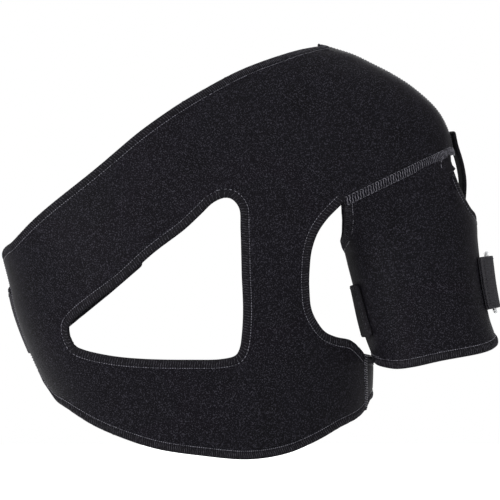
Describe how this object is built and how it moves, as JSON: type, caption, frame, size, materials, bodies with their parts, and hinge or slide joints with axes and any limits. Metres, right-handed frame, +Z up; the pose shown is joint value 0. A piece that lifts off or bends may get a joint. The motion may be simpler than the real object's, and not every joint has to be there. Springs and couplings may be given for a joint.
{
  "type": "shoulder brace",
  "caption": "Black neoprene shoulder brace with a wrap sleeve, chest band, three-cornered cut-out and ring-fastened straps, shown as worn.",
  "frame": {"origin": "under the crest of the shoulder panel, where the brace rests on the wearer's shoulder", "axes": "+X towards the braced arm, -Y the wearer's front, +Z up"},
  "size_m": [0.4482, 0.2256, 0.3713],
  "materials": {
    "neoprene": "speckled black knit over foam",
    "strap": "brushed black loop fabric",
    "webbing": "woven dark grey webbing",
    "clear_plastic": "clear moulded ring"
  },
  "bodies": {
    "root": {"front_panel": "neoprene", "back_panel": "neoprene", "arm_sleeve": "neoprene", "shoulder_strip": "strap", "back_strap": "strap", "flank_ring": "clear_plastic", "flank_ring_keeper": "webbing", "arm_strap": "strap", "arm_ring": "clear_plastic", "arm_ring_keeper": "webbing"}
  },
  "joints": []
}
